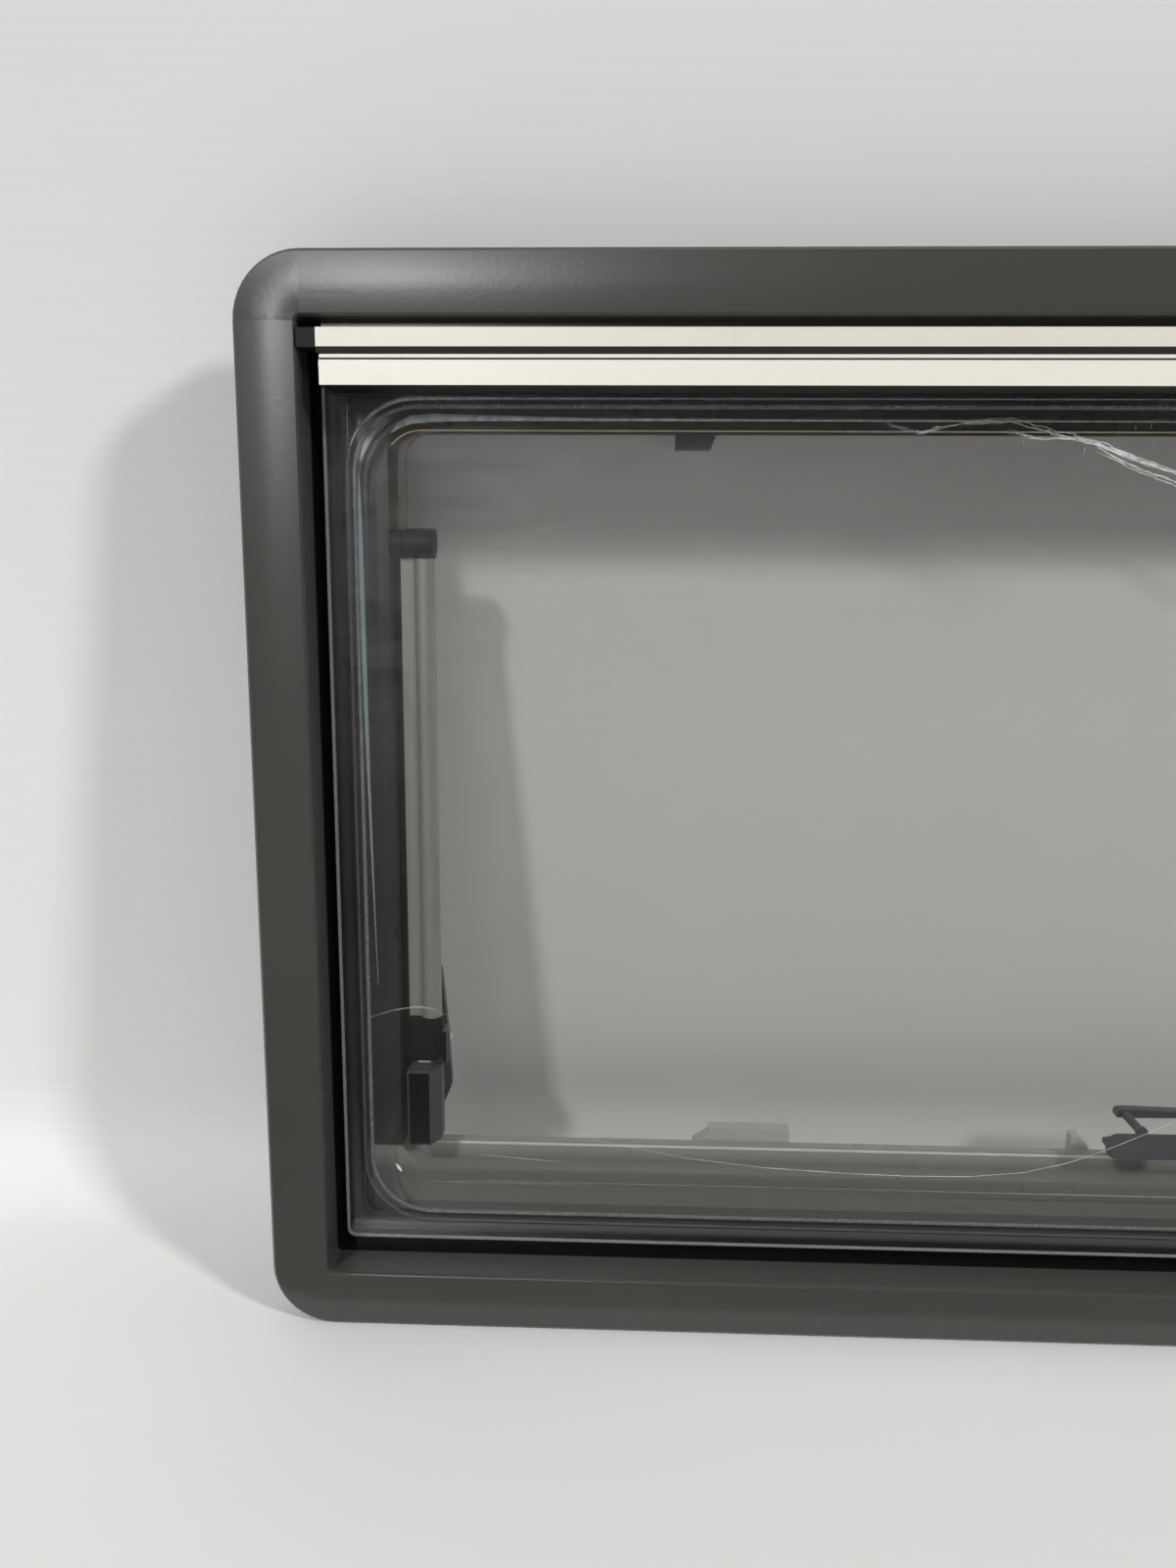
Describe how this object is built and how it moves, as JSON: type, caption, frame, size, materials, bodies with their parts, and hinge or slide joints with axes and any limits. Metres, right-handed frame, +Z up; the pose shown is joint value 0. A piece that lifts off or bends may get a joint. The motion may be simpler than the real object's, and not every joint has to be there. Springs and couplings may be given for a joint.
{
  "type": "top-hung caravan window",
  "caption": "Top-hung caravan window: moulded frame with rounded corners, smoky twin-walled sash on a hinge rail, telescopic stays and turning latches.",
  "frame": {"origin": "on the flat rear of the frame's flange, at the middle of its bottom band", "axes": "+X right as seen from outside, +Y inward through the wall, +Z up"},
  "size_m": [0.936, 0.084, 0.536],
  "materials": {
    "moulded_frame": "semi-gloss",
    "rail": "satin",
    "seal": "matt",
    "clear_pane": "smoky gloss",
    "stay_metal": "satin",
    "pale_clip": "satin",
    "grey_clip": "satin",
    "black_plastic": "satin"
  },
  "bodies": {
    "frame": {"outer_frame": "moulded_frame", "frame_hinge_rail": "rail", "hinge_end_plug_left": "black_plastic", "hinge_end_plug_right": "black_plastic", "sash_seal": "seal", "lower_clip_left": "pale_clip", "lower_clip_right": "pale_clip", "upper_clip_left": "grey_clip", "upper_clip_right": "grey_clip", "centre_keeper": "pale_clip", "stay_mount_left": "grey_clip", "stay_mount_right": "grey_clip"},
    "sash": {"outer_pane": "clear_pane", "inner_pane": "clear_pane", "sash_hinge_rail": "rail", "latch_base_left": "black_plastic", "latch_base_right": "black_plastic", "latch_base_centre": "black_plastic", "stay_foot_left": "black_plastic", "stay_foot_right": "black_plastic"},
    "turn_left": {"latch_lever_left": "black_plastic"},
    "turn_right": {"latch_lever_right": "black_plastic"},
    "turn_centre": {"latch_lever_centre": "black_plastic"},
    "tube_left": {"stay_head_left": "black_plastic", "stay_tube_left": "stay_metal"},
    "tube_right": {"stay_head_right": "black_plastic", "stay_tube_right": "stay_metal"},
    "rod_left": {"stay_rod_left": "stay_metal", "stay_socket_left": "black_plastic"},
    "rod_right": {"stay_rod_right": "stay_metal", "stay_socket_right": "black_plastic"}
  },
  "joints": [
    {"name": "sash_hinge", "type": "hinge", "parent": "frame", "child": "sash", "pos_m": [0, -0.024, 0.4797], "axis": [-1, 0, 0], "range_deg": [0, 45]},
    {"name": "stay_swing_left", "type": "hinge", "parent": "frame", "child": "tube_left", "pos_m": [-0.39, 0.025, 0.3975], "axis": [-1, 0, 0], "range_deg": [0, 52.74]},
    {"name": "stay_slide_left", "type": "slide", "parent": "tube_left", "child": "rod_left", "axis": [0, 0, -1], "range_m": [0, 0.06172]},
    {"name": "stay_swing_right", "type": "hinge", "parent": "frame", "child": "tube_right", "pos_m": [0.39, 0.025, 0.3975], "axis": [-1, 0, 0], "range_deg": [0, 52.74]},
    {"name": "stay_slide_right", "type": "slide", "parent": "tube_right", "child": "rod_right", "axis": [0, 0, -1], "range_m": [0, 0.06172]},
    {"name": "latch_turn_left", "type": "hinge", "parent": "sash", "child": "turn_left", "pos_m": [-0.391, 0.05, 0.094], "axis": [0, 1, 0], "range_deg": [0, 90]},
    {"name": "latch_turn_right", "type": "hinge", "parent": "sash", "child": "turn_right", "pos_m": [0.391, 0.05, 0.094], "axis": [0, -1, 0], "range_deg": [0, 90]},
    {"name": "latch_turn_centre", "type": "hinge", "parent": "sash", "child": "turn_centre", "pos_m": [0, 0.05, 0.083], "axis": [0, -1, 0], "range_deg": [0, 90]}
  ],
  "couplings": [
    {"joint": "stay_swing_left", "follows": "sash_hinge", "ratio": 1.1709},
    {"joint": "stay_slide_left", "follows": "sash_hinge", "m_per_rad": 0.078515},
    {"joint": "stay_swing_right", "follows": "sash_hinge", "ratio": 1.1709},
    {"joint": "stay_slide_right", "follows": "sash_hinge", "m_per_rad": 0.078515}
  ]
}
